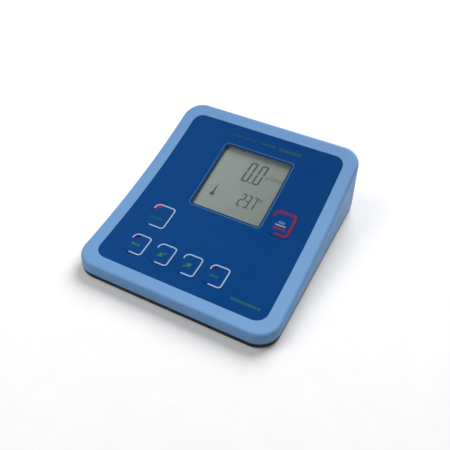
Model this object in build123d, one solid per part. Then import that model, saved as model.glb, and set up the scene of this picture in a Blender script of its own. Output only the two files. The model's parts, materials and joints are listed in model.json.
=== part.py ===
"""Bench-top pH and conductivity meter, modelled as its separate pieces, in millimetres.

The housing is a wedge: a drafted shell with a gently hollow top face, on a shallow dark tray.
A membrane keypad and a recessed display sit in the top face, and the sockets are in the rear wall.

Everything is built round the housing's centre, with the table at z = 0, +Y to the rear and +Z up.
Each piece is then moved by REAR_OVERHANG / 2 towards the front when it is written, so that the
origin is the centre of the whole object's footprint, sockets included.
"""

from build123d import *
import math
import os

# ---------------------------------------------------------------- driving dimensions
BODY_WIDTH = 179.5          # footprint of the top shell's lower edge
BODY_DEPTH = 202.6
CORNER_RADIUS = 19.2
HEIGHT_FRONT = 14.5         # top face above the table, at the front edge
HEIGHT_REAR = 58.8          # and at the rear edge
HOLLOW_RADIUS = 630.0       # the top face is hollow: a cylinder about a high axis along X
WALL_DRAFT = 2.0            # degrees that the shell's walls lean inwards
EDGE_ROUND = 3.0
WALL = 2.5
TOP_PLATE = 3.2             # thickness of the shell's top, before the keypad recess
TOP_CLEAR = HEIGHT_REAR + 12.0  # a height above everything, for the prisms that cut

TRAY_BOTTOM = 1.5           # underside of the tray above the table
SKIRT_BOTTOM = 0.6          # lower edge of the skirt round the tray
SKIRT_WIDTH = 2.4
SKIRT_EDGE_ROUND = 0.4
SHELL_BOTTOM = 5.5          # parting line between tray and shell
TRAY_INSET = 0.45           # the tray stands back from the shell's edge
TRAY_PLATE = 2.5
PLATE_TOP = TRAY_BOTTOM + TRAY_PLATE
LIP_INSET = 2.8             # locating lip inside the shell's wall
LIP_WIDTH = 1.4
LIP_TOP = 8.0

RIM = 12.5                  # light rim round the keypad panel
RIM_REAR = 13.4             # and along its rear edge
PANEL_RADIUS = 11.0
PANEL_GAP = 0.2
FILM = 0.3                  # printed film, spacer and circuit are the keypad's three layers
SPACER = 0.6
CIRCUIT = 0.2
RECESS = FILM + SPACER + CIRCUIT
LAYER_SETBACK = 0.4         # the two hidden layers stop short of the film's edge
LAYER_WINDOW_GROW = 2.0     # and have a larger opening for the display

KEY_RAISE = 0.35            # how far a key's embossed pad stands above the film
KEY_GAP = 0.15
KEY_HEEL_RADIUS = 6.5       # left corners of a key
KEY_TOE_RADIUS = 3.2        # right corners of a key
KEY_ROW_Y = -64.3
KEY_PITCH = 24.6
SMALL_KEY = (18.8, 21.2)
KEYS = {                    # centre x, centre y, width, and height along the face
    "memory": (-49.3, KEY_ROW_Y, *SMALL_KEY),
    "down": (-49.3 + KEY_PITCH, KEY_ROW_Y, *SMALL_KEY),
    "up": (-49.3 + 2 * KEY_PITCH, KEY_ROW_Y, *SMALL_KEY),
    "calibrate": (-49.3 + 3 * KEY_PITCH, KEY_ROW_Y, *SMALL_KEY),
    "function": (-48.6, -30.3, 21.6, 24.8),
    "power": (50.2, 4.6, 22.0, 26.2),
}
DOME_RADIUS = 6.0
DOME_HEIGHT = 0.55
DOME_SHEET = 0.2
DOME_GAP = 0.04             # between a dome's rim and the circuit layer

TAIL_WIDTH = 10.0           # ribbon from the keypad to the display board
TAIL_SHEET = 0.2
TAIL_Y = -20.7
TAIL_BEND = 2.4
TAIL_MOUTH = (-43.6, 1.2)   # where it enters its connector: up the display, and above its board

WINDOW_CENTRE = (1.05, 29.4)
WINDOW = (65.4, 71.8)       # opening in the printed film
WINDOW_RADIUS = 2.2
SEAT_DEPTH = 1.5            # depths below the top face, square to the display
PANE = (71.4, 77.8, 0.6)
GASKET = 0.2
GASKET_WIDTH = 1.2
SEAT_BORDER = 3.0           # thickened plate round the pane
SEAT_COVER = 0.3            # how far below the keypad's recess that plate starts
PANE_FIT = 0.15
PANE_CORNER = 2.0
WINDOW_STEP = 0.3           # the shell's opening is this much wider on each side
ABOVE_FACE = 12.0           # clear height above the hollow face, at the display
LCD = (67.2, 74.0)
LCD_OFFSET = (0.35, 1.0)    # the display sits a little right and to the rear in its window
LCD_GLASS = 2.2
REFLECTOR = 0.2
LCD_LEDGE = 2.0
ZEBRA = (60.0, 1.2)
LCD_FRAME_WALL = 2.6
LCD_FRAME_FIT = 0.3
DISPLAY_BOARD = (80.0, 95.0, 1.6)
BOARD_DEPTH = 8.0           # depth of the display board's upper face
DISPLAY_BOSSES = (34.0, 44.4)
DISPLAY_BOSS_RADIUS = 2.6
DISPLAY_PILOT_RADIUS = 0.9
DISPLAY_HOLE_RADIUS = 1.3

# what stands on the main board: centre x, centre y, and then each piece's size
MAIN_BOARD = (106.0, 78.0, 1.6)
MAIN_BOARD_CENTRE = (-17.0, 49.0)
MAIN_BOARD_Z = 10.0
MAIN_BOARD_HOLES = (49.0, 35.0)
BOARD_POST_RADIUS = 3.2
BOARD_PILOT_RADIUS = 1.2
BOARD_HOLE_RADIUS = 1.6
SHIELD = (30.0, 22.0, 5.0)
SHIELD_CENTRE = (-46.0, 61.0)
SHIELD_SHEET = 0.5
SHIELD_VENTS = (4, 3, 6.0, 0.9)     # across, along, pitch and radius
CANS = ((14.0, 70.0, 4.0, 11.0), (24.0, 70.0, 4.0, 11.0), (24.0, 56.0, 3.0, 7.0))
PROCESSOR = (-20.0, 40.0, 14.0, 10.0)
SMALL_CHIPS = (
    (-42.0, 30.0, 5.0, 4.0),
    (-4.0, 28.0, 5.0, 4.0),
    (-4.0, 52.0, 9.0, 4.0),
    (14.0, 36.0, 5.0, 4.0),
)
HEADER = ((-7.0, 11.0), (14.0, 19.0), 3.0)
RIBBON = (16.0, 0.3)
RIBBON_X = 2.0

CASE_SCREW = (76.0, 86.0)
CASE_BOSS_RADIUS = 4.0
CASE_PILOT_RADIUS = 1.3
CASE_PILOT_TOP = 16.0
CASE_HOLE_RADIUS = 1.7
CASE_HEAD_SEAT = (3.4, 1.2)     # radius and depth that each screw's head is sunk
# radius, head radius, head height and length of the screws
CASE_SCREW_SIZE = (1.25, 3.0, 1.1, 6.0)
BOARD_SCREW_SIZE = (1.2, 2.6, 1.6, 5.5)
DISPLAY_SCREW_SIZE = (0.9, 2.1, 1.2, 5.0)
FOOT = (62.0, 86.0)
FOOT_RADIUS = 6.0
FOOT_POCKET = 1.0
FOOT_ROUND = 0.6

BATTERY = (26.5, 48.5, 17.5)
BATTERY_CENTRE = (61.3, 49.0)
BATTERY_CORNER = 2.5
STUD_OFFSET = 6.4           # the battery's two studs, from its middle
STUD_RADIUS = 2.9
SNAP = (25.0, 3.3, 11.0)
BATTERY_LEAD_RADIUS = 0.7
BATTERY_LEAD_HOLE = (15.5, 20.5)    # lowest and highest
BAY = (29.5, 58.0)          # battery opening in the tray
BAY_CENTRE_Y = 48.0
BAY_WALL = 1.5
BAY_ROOF = 23.6
DOOR_GAP = 0.3
DOOR_BEVEL = 50.0           # degrees, so that the door's front edge clears the tray as it tilts
DOOR_TAB = (6.0, 1.8, 1.1)
DOOR_TAB_LIFT = 0.1         # the tabs' underside above the tray's plate
DOOR_TAB_ROOT = (1.6, 4.0)  # where a tab joins the plate, behind the opening's front edge
DOOR_TAB_ROOM = (2.6, 4.0)  # length and height of the room for the tabs
DOOR_TONGUE = (10.0, 1.8, 5.0)
DOOR_GROOVES = (4, 2.4, 0.6, 14.0)  # number, pitch, radius and length

SOCKET_BAY = (132.0, 26.0)  # flat, upright area of the rear wall
SOCKET_Z = 27.0
SOCKET_FACE_Y = 97.3
SOCKET_WALL = 3.0
SOCKET_WALL_HEIGHT = 18.0   # of the thick wall, below the sockets' middle
SOCKET_BAY_CORNER = 3.0
BNC_X, TEMP_X, POWER_X = -38.0, -4.0, 28.0
BNC_LENGTH = 13.0           # how far the electrode socket stands out of its wall
BNC_FLANGE, BNC_SHOULDER, BNC_THREAD, BNC_BARREL, BNC_BORE = 7.0, 5.6, 4.75, 4.8, 4.05
BNC_CORE, BNC_PIN, BNC_PIN_BORE = 2.6, 1.1, 0.7
BNC_BACK = 11.0             # length of the thread, from the wall's outer face
BNC_LUG = (1.0, 1.5, 4.2)   # bayonet lugs: radius, height and distance from the tip
TEMP_FLANGE, TEMP_THREAD, TEMP_BARREL, TEMP_BORE, TEMP_PIN = 5.8, 3.9, 4.15, 3.4, 1.65
TEMP_LENGTH, TEMP_BACK = 10.6, 9.0
POWER_FLANGE, POWER_THREAD, POWER_BORE, POWER_PIN = 5.4, 3.9, 2.9, 1.0
POWER_DEPTH, POWER_BACK = 8.0, 12.0
THREAD_FIT = 0.05
LEAD_BEND = 3.0

REAR_OVERHANG = SOCKET_FACE_Y + BNC_LENGTH - BODY_DEPTH / 2

# ---------------------------------------------------------------- the hollow top face
chord = math.hypot(BODY_DEPTH, HEIGHT_REAR - HEIGHT_FRONT)
chord_angle = math.atan2(HEIGHT_REAR - HEIGHT_FRONT, BODY_DEPTH)
apothem = math.sqrt(HOLLOW_RADIUS**2 - (chord / 2) ** 2)
AXIS_Y = -apothem * math.sin(chord_angle)
AXIS_Z = (HEIGHT_FRONT + HEIGHT_REAR) / 2 + apothem * math.cos(chord_angle)


def face_z(y):
    """Height of the top face at a place along the housing."""
    return AXIS_Z - math.sqrt(HOLLOW_RADIUS**2 - (y - AXIS_Y) ** 2)


def face_slope(y):
    """Slope of the top face at a place along the housing, in degrees."""
    return math.degrees(math.asin((y - AXIS_Y) / HOLLOW_RADIUS))


def above(depth):
    """Everything above a surface that lies a depth below the top face."""
    drum = Cylinder(HOLLOW_RADIUS + depth, 3 * BODY_WIDTH)
    return Pos(0, AXIS_Y, AXIS_Z) * Rotation(0, -90, 0) * drum


def layer(prism, top, bottom):
    """The part of an upright prism between two depths below the top face."""
    return (prism & above(bottom)) - above(top)


def on_face(x, y):
    """Plane tangent to the top face: local z points out of it."""
    slope = math.radians(face_slope(y))
    return Plane((x, y, face_z(y)), x_dir=(1, 0, 0), z_dir=(0, -math.sin(slope), math.cos(slope)))


def drafted(inset, bottom, top, radius, rear=0.0):
    """A prism that follows the shell's leaning walls, a constant inset inside, or more at the rear."""
    lean = math.tan(math.radians(WALL_DRAFT))
    sections = []
    for z in (bottom, top):
        shrink = inset + (z - SHELL_BOTTOM) * lean
        size = (BODY_WIDTH - 2 * shrink, BODY_DEPTH - 2 * shrink - rear)
        corner = radius - (z - SHELL_BOTTOM) * lean
        sections.append(Pos(0, -rear / 2, z) * RectangleRounded(*size, corner))
    return loft(sections, ruled=True)


def upright(width, depth, radius, bottom, top, x=0.0, y=0.0):
    """A prism with a rounded outline and upright walls."""
    outline = Pos(x, y, bottom) * RectangleRounded(width, depth, radius)
    return extrude(outline, amount=top - bottom)


def corners(x, y):
    """The four places (+-x, +-y)."""
    return [(sx * x, sy * y) for sy in (-1, 1) for sx in (-1, 1)]


def disc(radius, bottom, top, x=0.0, y=0.0):
    """An upright cylinder between two heights."""
    return Pos(x, y, (bottom + top) / 2) * Cylinder(radius, top - bottom)


def block(x, y, z):
    """A box from its three (low, high) pairs."""
    size = [high - low for low, high in (x, y, z)]
    return Pos(*[(low + high) / 2 for low, high in (x, y, z)]) * Box(*size)


def key_outline(name, grow=0.0):
    """A key's outline: rounder corners on the left, tighter ones on the right."""
    _, _, width, height = KEYS[name]
    half_w, half_h = width / 2 + grow, height / 2 + grow
    heel, toe = KEY_HEEL_RADIUS + grow, KEY_TOE_RADIUS + grow
    sketch = Rectangle(2 * half_w, 2 * half_h)
    sketch = fillet(sketch.vertices().group_by(Axis.X)[0], heel)
    return fillet(sketch.vertices().group_by(Axis.X)[-1], toe)


def key_prism(name, grow=0.0):
    """A key's outline as a prism square to the face at the key's middle, the way that it travels."""
    x, y, _, _ = KEYS[name]
    return extrude(on_face(x, y) * key_outline(name, grow), amount=5, both=True)


def display_prism(width, height, radius, top, bottom, offset=(0, 0)):
    """A prism square to the display, between two depths below the tangent plane."""
    plane = on_face(*WINDOW_CENTRE).offset(-bottom)
    return extrude(plane * Pos(*offset) * RectangleRounded(width, height, radius), amount=bottom - top)


def display_disc(radius, top, bottom, x, y):
    """A cylinder square to the display, between two depths."""
    plane = on_face(*WINDOW_CENTRE).offset(-bottom)
    return extrude(plane * Pos(x, y, 0) * Circle(radius), amount=bottom - top)


# ---------------------------------------------------------------- housing
def top_shell():
    outer = drafted(0, SHELL_BOTTOM, TOP_CLEAR, CORNER_RADIUS) - above(0)
    rim = outer.faces().filter_by(lambda f: f.geom_type == GeomType.CYLINDER).sort_by(SortBy.AREA)[-1]
    outer = fillet(rim.edges(), EDGE_ROUND)

    cavity = drafted(WALL, SHELL_BOTTOM - 1, TOP_CLEAR, CORNER_RADIUS - WALL) - above(TOP_PLATE)
    # thicker, upright rear wall behind the sockets
    half_bay = SOCKET_BAY[0] / 2 + SOCKET_WALL
    inner_face = SOCKET_FACE_Y - SOCKET_WALL
    upright_part = (SOCKET_Z - SOCKET_WALL_HEIGHT, TOP_CLEAR)
    cavity -= block((-half_bay, half_bay), (inner_face, BODY_DEPTH), upright_part)
    # seat for the window pane, square to the display
    seat_size = (PANE[0] + 2 * SEAT_BORDER, PANE[1] + 2 * SEAT_BORDER)
    seat = display_prism(*seat_size, SEAT_BORDER, RECESS + SEAT_COVER, SEAT_DEPTH + PANE[2])
    for x, y in corners(*DISPLAY_BOSSES):
        seat += display_disc(DISPLAY_BOSS_RADIUS, RECESS + SEAT_COVER, BOARD_DEPTH, x, y)
    cavity -= seat
    for x, y in corners(*CASE_SCREW):
        cavity -= disc(CASE_BOSS_RADIUS, PLATE_TOP, HEIGHT_REAR, x, y)

    shell = outer - cavity
    bosses = Part() + [
        disc(CASE_BOSS_RADIUS, PLATE_TOP, SHELL_BOTTOM + 1, x, y)
        for x, y in corners(*CASE_SCREW)
    ]
    shell += bosses
    shell -= layer(drafted(RIM, 0, TOP_CLEAR, PANEL_RADIUS, RIM_REAR - RIM), -5, RECESS)
    opening = (WINDOW[0] + 2 * WINDOW_STEP, WINDOW[1] + 2 * WINDOW_STEP)
    shell -= display_prism(*opening, WINDOW_RADIUS, -ABOVE_FACE, BOARD_DEPTH)
    pocket = (PANE[0] + 2 * PANE_FIT, PANE[1] + 2 * PANE_FIT)
    shell -= display_prism(*pocket, PANE_CORNER + PANE_FIT, SEAT_DEPTH, BOARD_DEPTH - 2)
    shell -= tail_slot()
    shell -= socket_recess()
    for x, radius in ((BNC_X, BNC_THREAD), (TEMP_X, TEMP_THREAD), (POWER_X, POWER_THREAD)):
        shell -= along_y(radius + 0.1, SOCKET_FACE_Y - 6, SOCKET_FACE_Y + 6, x)
    for x, y in corners(*CASE_SCREW):
        shell -= disc(CASE_PILOT_RADIUS, 0, min(face_z(y) - RECESS - TOP_PLATE, CASE_PILOT_TOP), x, y)
    for x, y in corners(*DISPLAY_BOSSES):
        shell -= display_disc(DISPLAY_PILOT_RADIUS, SEAT_DEPTH, BOARD_DEPTH + 1, x, y)
    return shell


def socket_recess():
    """Flat-bottomed recess in the rear wall, with rounded corners, that the sockets stand in."""
    outline = Pos(0, SOCKET_Z) * RectangleRounded(*SOCKET_BAY, SOCKET_BAY_CORNER)
    return extrude(Plane.XZ.offset(-BODY_DEPTH) * outline, amount=BODY_DEPTH - SOCKET_FACE_Y)


def tray_prism(inset, bottom, top):
    """The tray's outline with upright walls, inset from the shell's edge."""
    return upright(BODY_WIDTH - 2 * inset, BODY_DEPTH - 2 * inset, CORNER_RADIUS - inset, bottom, top)


def bay_box(grow, bottom, top):
    """The battery compartment's outline, grown by a wall."""
    x, y = BATTERY_CENTRE[0], BAY_CENTRE_Y
    width, depth = BAY[0] + 2 * grow, BAY[1] + 2 * grow
    return block((x - width / 2, x + width / 2), (y - depth / 2, y + depth / 2), (bottom, top))


BAY_FRONT = BAY_CENTRE_Y - BAY[1] / 2
BAY_REAR = BAY_CENTRE_Y + BAY[1] / 2
BATTERY_FRONT = BATTERY_CENTRE[1] - BATTERY[1] / 2


def base_tray():
    tray = tray_prism(TRAY_INSET, SKIRT_BOTTOM, SHELL_BOTTOM)
    tray = fillet(tray.faces().sort_by(Axis.Z)[0].edges(), SKIRT_EDGE_ROUND)
    tray -= tray_prism(TRAY_INSET + SKIRT_WIDTH, 0, TRAY_BOTTOM)
    tray += tray_prism(LIP_INSET, SHELL_BOTTOM - 1, LIP_TOP)
    tray -= tray_prism(LIP_INSET + LIP_WIDTH, PLATE_TOP, LIP_TOP + 1)
    for x, y in corners(*CASE_SCREW):
        tray -= disc(CASE_BOSS_RADIUS + 0.3, PLATE_TOP, LIP_TOP + 1, x, y)
        tray -= disc(CASE_HOLE_RADIUS, 0, LIP_TOP, x, y)
        tray -= disc(CASE_HEAD_SEAT[0], 0, TRAY_BOTTOM + CASE_HEAD_SEAT[1], x, y)
    for x, y in corners(*FOOT):
        tray -= disc(FOOT_RADIUS + 0.1, 0, TRAY_BOTTOM + FOOT_POCKET, x, y)
    for x, y in corners(*MAIN_BOARD_HOLES):
        place = (MAIN_BOARD_CENTRE[0] + x, MAIN_BOARD_CENTRE[1] + y)
        tray += disc(BOARD_POST_RADIUS, PLATE_TOP - 0.5, MAIN_BOARD_Z, *place)
        tray -= disc(BOARD_PILOT_RADIUS, PLATE_TOP + 0.5, MAIN_BOARD_Z + 1, *place)
    # battery compartment, closed above and open below
    tray += bay_box(BAY_WALL, PLATE_TOP - 1, BAY_ROOF)
    tray -= bay_box(0, 0, BAY_ROOF - BAY_WALL)
    # room in front of the opening for the door's tabs, and a hole for the battery leads
    length, height = DOOR_TAB_ROOM
    room_front, room_top = BAY_FRONT - length, PLATE_TOP + height
    half = BATTERY[0] / 2
    x = BATTERY_CENTRE[0]
    sides = (x - half - BAY_WALL, x + half + BAY_WALL)
    tray -= block((x - half, x + half), (room_front, BAY_FRONT + 1), (PLATE_TOP, room_top))
    tray += block(sides, (room_front - BAY_WALL, room_front), (PLATE_TOP - 1, room_top + BAY_WALL))
    roof = (room_top, room_top + BAY_WALL)
    tray += block(sides, (room_front - BAY_WALL, BAY_FRONT - BAY_WALL + 0.5), roof)
    tray -= block((x - half - 6, x), (BATTERY_FRONT - 3.8, BATTERY_FRONT - 0.2), BATTERY_LEAD_HOLE)
    return tray


def battery_door():
    """Flush plate with two tabs at its front edge and a snap tongue at its rear edge."""
    x = BATTERY_CENTRE[0]
    half = BAY[0] / 2 - DOOR_GAP
    bevel = TRAY_PLATE * math.tan(math.radians(DOOR_BEVEL))
    profile = Polyline(
        (BAY_FRONT + DOOR_GAP, PLATE_TOP),
        (BAY_REAR - DOOR_GAP, PLATE_TOP),
        (BAY_REAR - DOOR_GAP, TRAY_BOTTOM),
        (BAY_FRONT + DOOR_GAP + bevel, TRAY_BOTTOM),
        close=True,
    )
    door = extrude(Plane.YZ.offset(x - half) * make_face(profile), amount=2 * half)
    width, reach, thick = DOOR_TAB
    tab_bottom = PLATE_TOP + DOOR_TAB_LIFT
    for side in (-1, 1):
        centre = x + side * (half - width)
        across = (centre - width / 2, centre + width / 2)
        root_rear = BAY_FRONT + DOOR_TAB_ROOT[1]
        door += block(across, (BAY_FRONT - reach, root_rear), (tab_bottom, tab_bottom + thick))
        # the root stays behind the bevelled edge, so that it clears the tray too
        door += block(across, (BAY_FRONT + DOOR_TAB_ROOT[0], root_rear), (PLATE_TOP - 0.5, tab_bottom + 0.1))
    tongue_width, tongue_thick, tongue_height = DOOR_TONGUE
    tongue_front = BAY_REAR - 1.2 - tongue_thick
    door += block((x - tongue_width / 2, x + tongue_width / 2),
                  (tongue_front, tongue_front + tongue_thick), (PLATE_TOP - 1, PLATE_TOP + tongue_height))
    # grip grooves across the underside
    count, pitch, radius, length = DOOR_GROOVES
    for step in range(count):
        y = BAY_REAR - 8 - pitch * step
        door -= Pos(x, y, TRAY_BOTTOM) * Rotation(0, 90, 0) * Cylinder(radius, length)
    return door


def foot(x, y):
    pad = disc(FOOT_RADIUS, 0, TRAY_BOTTOM + FOOT_POCKET, x, y)
    return fillet(pad.edges().group_by(Axis.Z)[0], FOOT_ROUND)


def pan_screw(radius, head_radius, head_height, length):
    """A pan-head screw standing on its tip: the head's underside is at z = 0, the shank below it."""
    screw = disc(radius, -length, 0.1) + disc(head_radius, 0, head_height)
    screw = fillet(screw.edges().sort_by(Axis.Z)[-1], head_height * 0.35)
    reach = head_radius * 0.6
    recess = block((-0.4, 0.4), (-reach, reach), (head_height * 0.45, head_height + 1))
    return screw - recess - Rotation(0, 0, 90) * recess


def case_screws():
    screw = Rotation(180, 0, 0) * pan_screw(*CASE_SCREW_SIZE)
    seat = TRAY_BOTTOM + CASE_HEAD_SEAT[1]
    return Part() + [Pos(x, y, seat) * screw for x, y in corners(*CASE_SCREW)]


# ---------------------------------------------------------------- membrane keypad
def film_prism(inset=0.0):
    return drafted(RIM + PANEL_GAP + inset, 0, TOP_CLEAR, PANEL_RADIUS - PANEL_GAP, RIM_REAR - RIM)


def overlay_film():
    film = layer(film_prism(), 0, FILM)
    for name in KEYS:
        film -= key_prism(name, KEY_GAP)
    return film - display_prism(*WINDOW, WINDOW_RADIUS, -ABOVE_FACE, BOARD_DEPTH)


def layer_window():
    """The display's opening through the two hidden layers."""
    size = (WINDOW[0] + LAYER_WINDOW_GROW, WINDOW[1] + LAYER_WINDOW_GROW)
    return display_prism(*size, WINDOW_RADIUS, -ABOVE_FACE, BOARD_DEPTH)


def membrane_spacer():
    sheet = layer(film_prism(LAYER_SETBACK), FILM, FILM + SPACER)
    for name in KEYS:
        sheet -= key_prism(name, 3 * KEY_GAP)
    return sheet - layer_window()


def membrane_circuit():
    return layer(film_prism(LAYER_SETBACK), FILM + SPACER, RECESS) - layer_window()


def key_pad(name):
    pad = layer(key_prism(name), -KEY_RAISE, FILM)
    crown = pad.faces().filter_by(GeomType.CYLINDER).sort_by(SortBy.AREA)[-2:].sort_by(Axis.Z)[-1]
    return fillet(crown.edges(), KEY_RAISE * 0.8)


def snap_dome(name):
    """Thin sprung cap under a key, its rim on the circuit layer."""
    x, y, _, _ = KEYS[name]
    sphere = (DOME_RADIUS**2 + DOME_HEIGHT**2) / (2 * DOME_HEIGHT)
    cap = Pos(0, 0, DOME_HEIGHT - sphere) * (Sphere(sphere) - Sphere(sphere - DOME_SHEET))
    cap &= disc(DOME_RADIUS * 2, 0, DOME_HEIGHT + 1)
    return on_face(x, y).offset(DOME_GAP - FILM - SPACER) * cap


def tail_slot():
    """Slot through the shell's top that the keypad's ribbon goes down."""
    z = face_z(TAIL_Y)
    half = TAIL_WIDTH / 2 + 1
    return block((-half, half), (TAIL_Y - 1, TAIL_Y + 1), (z - 12, z - 0.3))


def membrane_tail():
    """Flat ribbon from the circuit layer down to the connector on the display board."""
    start_z = face_z(TAIL_Y) - RECESS / math.cos(math.radians(face_slope(TAIL_Y))) - 0.05
    mouth = display_point(0, TAIL_MOUTH[0], BOARD_DEPTH - TAIL_MOUTH[1])
    slope = math.tan(math.radians(face_slope(WINDOW_CENTRE[1])))
    low = mouth.Z - (mouth.Y - TAIL_Y) * slope
    path = FilletPolyline((TAIL_Y, start_z), (TAIL_Y, low), (mouth.Y, mouth.Z), radius=TAIL_BEND)
    ribbon = trace(path, TAIL_SHEET)
    return extrude(Plane.YZ.offset(-TAIL_WIDTH / 2) * ribbon, amount=TAIL_WIDTH)


def display_point(x, y, depth):
    """A place in the display's own frame, as a point of the housing."""
    return on_face(*WINDOW_CENTRE).from_local_coords(Vector(x, y, -depth))


# ---------------------------------------------------------------- display
GLASS_TOP = SEAT_DEPTH + PANE[2] + GASKET
GLASS_BOTTOM = GLASS_TOP + LCD_GLASS
FRAME_HOLE = (LCD[0] + 2 * LCD_FRAME_FIT, LCD[1] + 2 * LCD_FRAME_FIT)
FRAME = (FRAME_HOLE[0] + 2 * LCD_FRAME_WALL, FRAME_HOLE[1] + 2 * LCD_FRAME_WALL)


def window_pane():
    return display_prism(PANE[0], PANE[1], PANE_CORNER, SEAT_DEPTH, SEAT_DEPTH + PANE[2])


def window_gasket():
    ring = display_prism(*LCD, 2, SEAT_DEPTH + PANE[2], GLASS_TOP, LCD_OFFSET)
    inner = (LCD[0] - 2 * GASKET_WIDTH, LCD[1] - 2 * GASKET_WIDTH)
    return ring - display_prism(*inner, 1.5, 0, GLASS_TOP + 1, LCD_OFFSET)


def lcd_glass():
    """Two glass plates: the front one stands out past the back one where the contacts are."""
    front = display_prism(*LCD, 0.4, GLASS_TOP, GLASS_TOP + LCD_GLASS / 2, LCD_OFFSET)
    back_size = (LCD[0], LCD[1] - 2 * LCD_LEDGE)
    return front + display_prism(*back_size, 0.4, GLASS_TOP + LCD_GLASS / 2, GLASS_BOTTOM, LCD_OFFSET)


def lcd_reflector():
    size = (LCD[0] - 3, LCD[1] - 2 * LCD_LEDGE - 2)
    return display_prism(*size, 0.4, GLASS_BOTTOM, GLASS_BOTTOM + REFLECTOR, LCD_OFFSET)


def zebra_strip(side):
    """Elastomer contact strip between the front plate's ledge and the display board."""
    offset = (LCD_OFFSET[0], LCD_OFFSET[1] + side * (LCD[1] - LCD_LEDGE) / 2)
    return display_prism(*ZEBRA, 0.2, GLASS_TOP + LCD_GLASS / 2, BOARD_DEPTH, offset)


def lcd_frame():
    frame = display_prism(*FRAME, 1.5, TOP_PLATE + 0.1, BOARD_DEPTH, LCD_OFFSET)
    return frame - display_prism(*FRAME_HOLE, 0.5, 0, BOARD_DEPTH + 1, LCD_OFFSET)


def display_board():
    width, height, thick = DISPLAY_BOARD
    board = display_prism(width, height, 2, BOARD_DEPTH, BOARD_DEPTH + thick)
    for x, y in corners(*DISPLAY_BOSSES):
        board -= display_disc(DISPLAY_HOLE_RADIUS, 0, BOARD_DEPTH + 2 * thick, x, y)
    return board


def display_screws():
    screw = pan_screw(*DISPLAY_SCREW_SIZE)
    under = on_face(*WINDOW_CENTRE).offset(-(BOARD_DEPTH + DISPLAY_BOARD[2]))
    places = corners(*DISPLAY_BOSSES)
    return Part() + [under * Pos(x, y, 0) * Rotation(180, 0, 0) * screw for x, y in places]


def keypad_connector():
    """Low connector on the display board that grips the keypad's ribbon."""
    plane = on_face(*WINDOW_CENTRE).offset(-BOARD_DEPTH)
    shell = plane * Pos(0, -41.9, 1.2) * Box(TAIL_WIDTH + 4, 3.2, 2.4)
    return shell - plane * Pos(0, -43.2, 1.2) * Box(TAIL_WIDTH + 0.6, 1.2, TAIL_SHEET + 0.4)


# ---------------------------------------------------------------- electronics in the tray
BOARD_TOP = MAIN_BOARD_Z + MAIN_BOARD[2]


def main_board():
    width, depth, thick = MAIN_BOARD
    x, y = MAIN_BOARD_CENTRE
    board = upright(width, depth, 2, MAIN_BOARD_Z, MAIN_BOARD_Z + thick, x, y)
    for dx, dy in corners(*MAIN_BOARD_HOLES):
        board -= disc(BOARD_HOLE_RADIUS, 0, BOARD_TOP + 1, x + dx, y + dy)
    return board


def board_screws():
    x, y = MAIN_BOARD_CENTRE
    screw = pan_screw(*BOARD_SCREW_SIZE)
    return Part() + [Pos(x + dx, y + dy, BOARD_TOP) * screw for dx, dy in corners(*MAIN_BOARD_HOLES)]


def chip(x, y, width, depth, height, pins):
    """A packaged chip with gull-wing legs along two sides."""
    body = upright(width, depth, 0.3, BOARD_TOP + 0.2, BOARD_TOP + height, x, y)
    row = width - 1.0
    for index in range(pins):
        leg = x - row / 2 + index * row / (pins - 1)
        for side in (-1, 1):
            low, high = sorted((y + side * depth / 2, y + side * (depth / 2 + 0.7)))
            body += block((leg - 0.2, leg + 0.2), (low, high), (BOARD_TOP, BOARD_TOP + height / 2))
    return body


def processor_chip():
    return chip(*PROCESSOR, 1.8, 10)


def small_chips():
    return Part() + [chip(*place, 1.5, 4) for place in SMALL_CHIPS]


def capacitors():
    """Three upright electrolytic cans."""
    cans = []
    for x, y, radius, height in CANS:
        can = disc(radius, BOARD_TOP, BOARD_TOP + height, x, y)
        cans.append(fillet(can.edges().group_by(Axis.Z)[-1], 0.5))
    return Part() + cans


def input_shield():
    """Folded metal can over the electrode input stage, with vents in its roof."""
    width, depth, height = SHIELD
    inner = (width - 2 * SHIELD_SHEET, depth - 2 * SHIELD_SHEET)
    can = upright(width, depth, 0.8, BOARD_TOP, BOARD_TOP + height, *SHIELD_CENTRE)
    can -= upright(*inner, 0.4, BOARD_TOP - 1, BOARD_TOP + height - SHIELD_SHEET, *SHIELD_CENTRE)
    columns, rows, pitch, radius = SHIELD_VENTS
    for column in range(columns):
        for row in range(rows):
            x = SHIELD_CENTRE[0] + (column - (columns - 1) / 2) * pitch
            y = SHIELD_CENTRE[1] + (row - (rows - 1) / 2) * pitch
            can -= disc(radius, BOARD_TOP, BOARD_TOP + 2 * height, x, y)
    return can


def board_header():
    """Socket on the main board for the display's ribbon."""
    across, along, height = HEADER
    return block(across, along, (BOARD_TOP, BOARD_TOP + height))


def display_ribbon():
    """Flat cable between the main board's header and the display board above it."""
    width, thick = RIBBON
    start_y = sum(HEADER[1]) / 2
    start_z = BOARD_TOP + HEADER[2]
    end = display_point(0, -22, BOARD_DEPTH + DISPLAY_BOARD[2] + 0.1)
    path = FilletPolyline((start_y, start_z + 0.05), (start_y, start_z + 1.6), (end.Y, end.Z - 1.2),
                          (end.Y, end.Z - 0.1), radius=0.5)
    return extrude(Plane.YZ.offset(RIBBON_X - width / 2) * trace(path, thick), amount=width)


# ---------------------------------------------------------------- battery
BATTERY_Z = PLATE_TOP + 0.2


def battery():
    x, y = BATTERY_CENTRE
    width, length, height = BATTERY
    cell = upright(width, length, BATTERY_CORNER, BATTERY_Z, BATTERY_Z + height, x, y)
    for side in (-1, 1):
        cell += battery_stud(side, STUD_RADIUS, 2.6)
    return cell


def battery_stud(side, radius, length):
    """A cylinder along Y at one of the battery's two studs."""
    middle = BATTERY_Z + BATTERY[2] / 2
    place = Pos(BATTERY_CENTRE[0] + side * STUD_OFFSET, BATTERY_FRONT - 1.2, middle)
    return place * Rotation(90, 0, 0) * Cylinder(radius, length)


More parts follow.
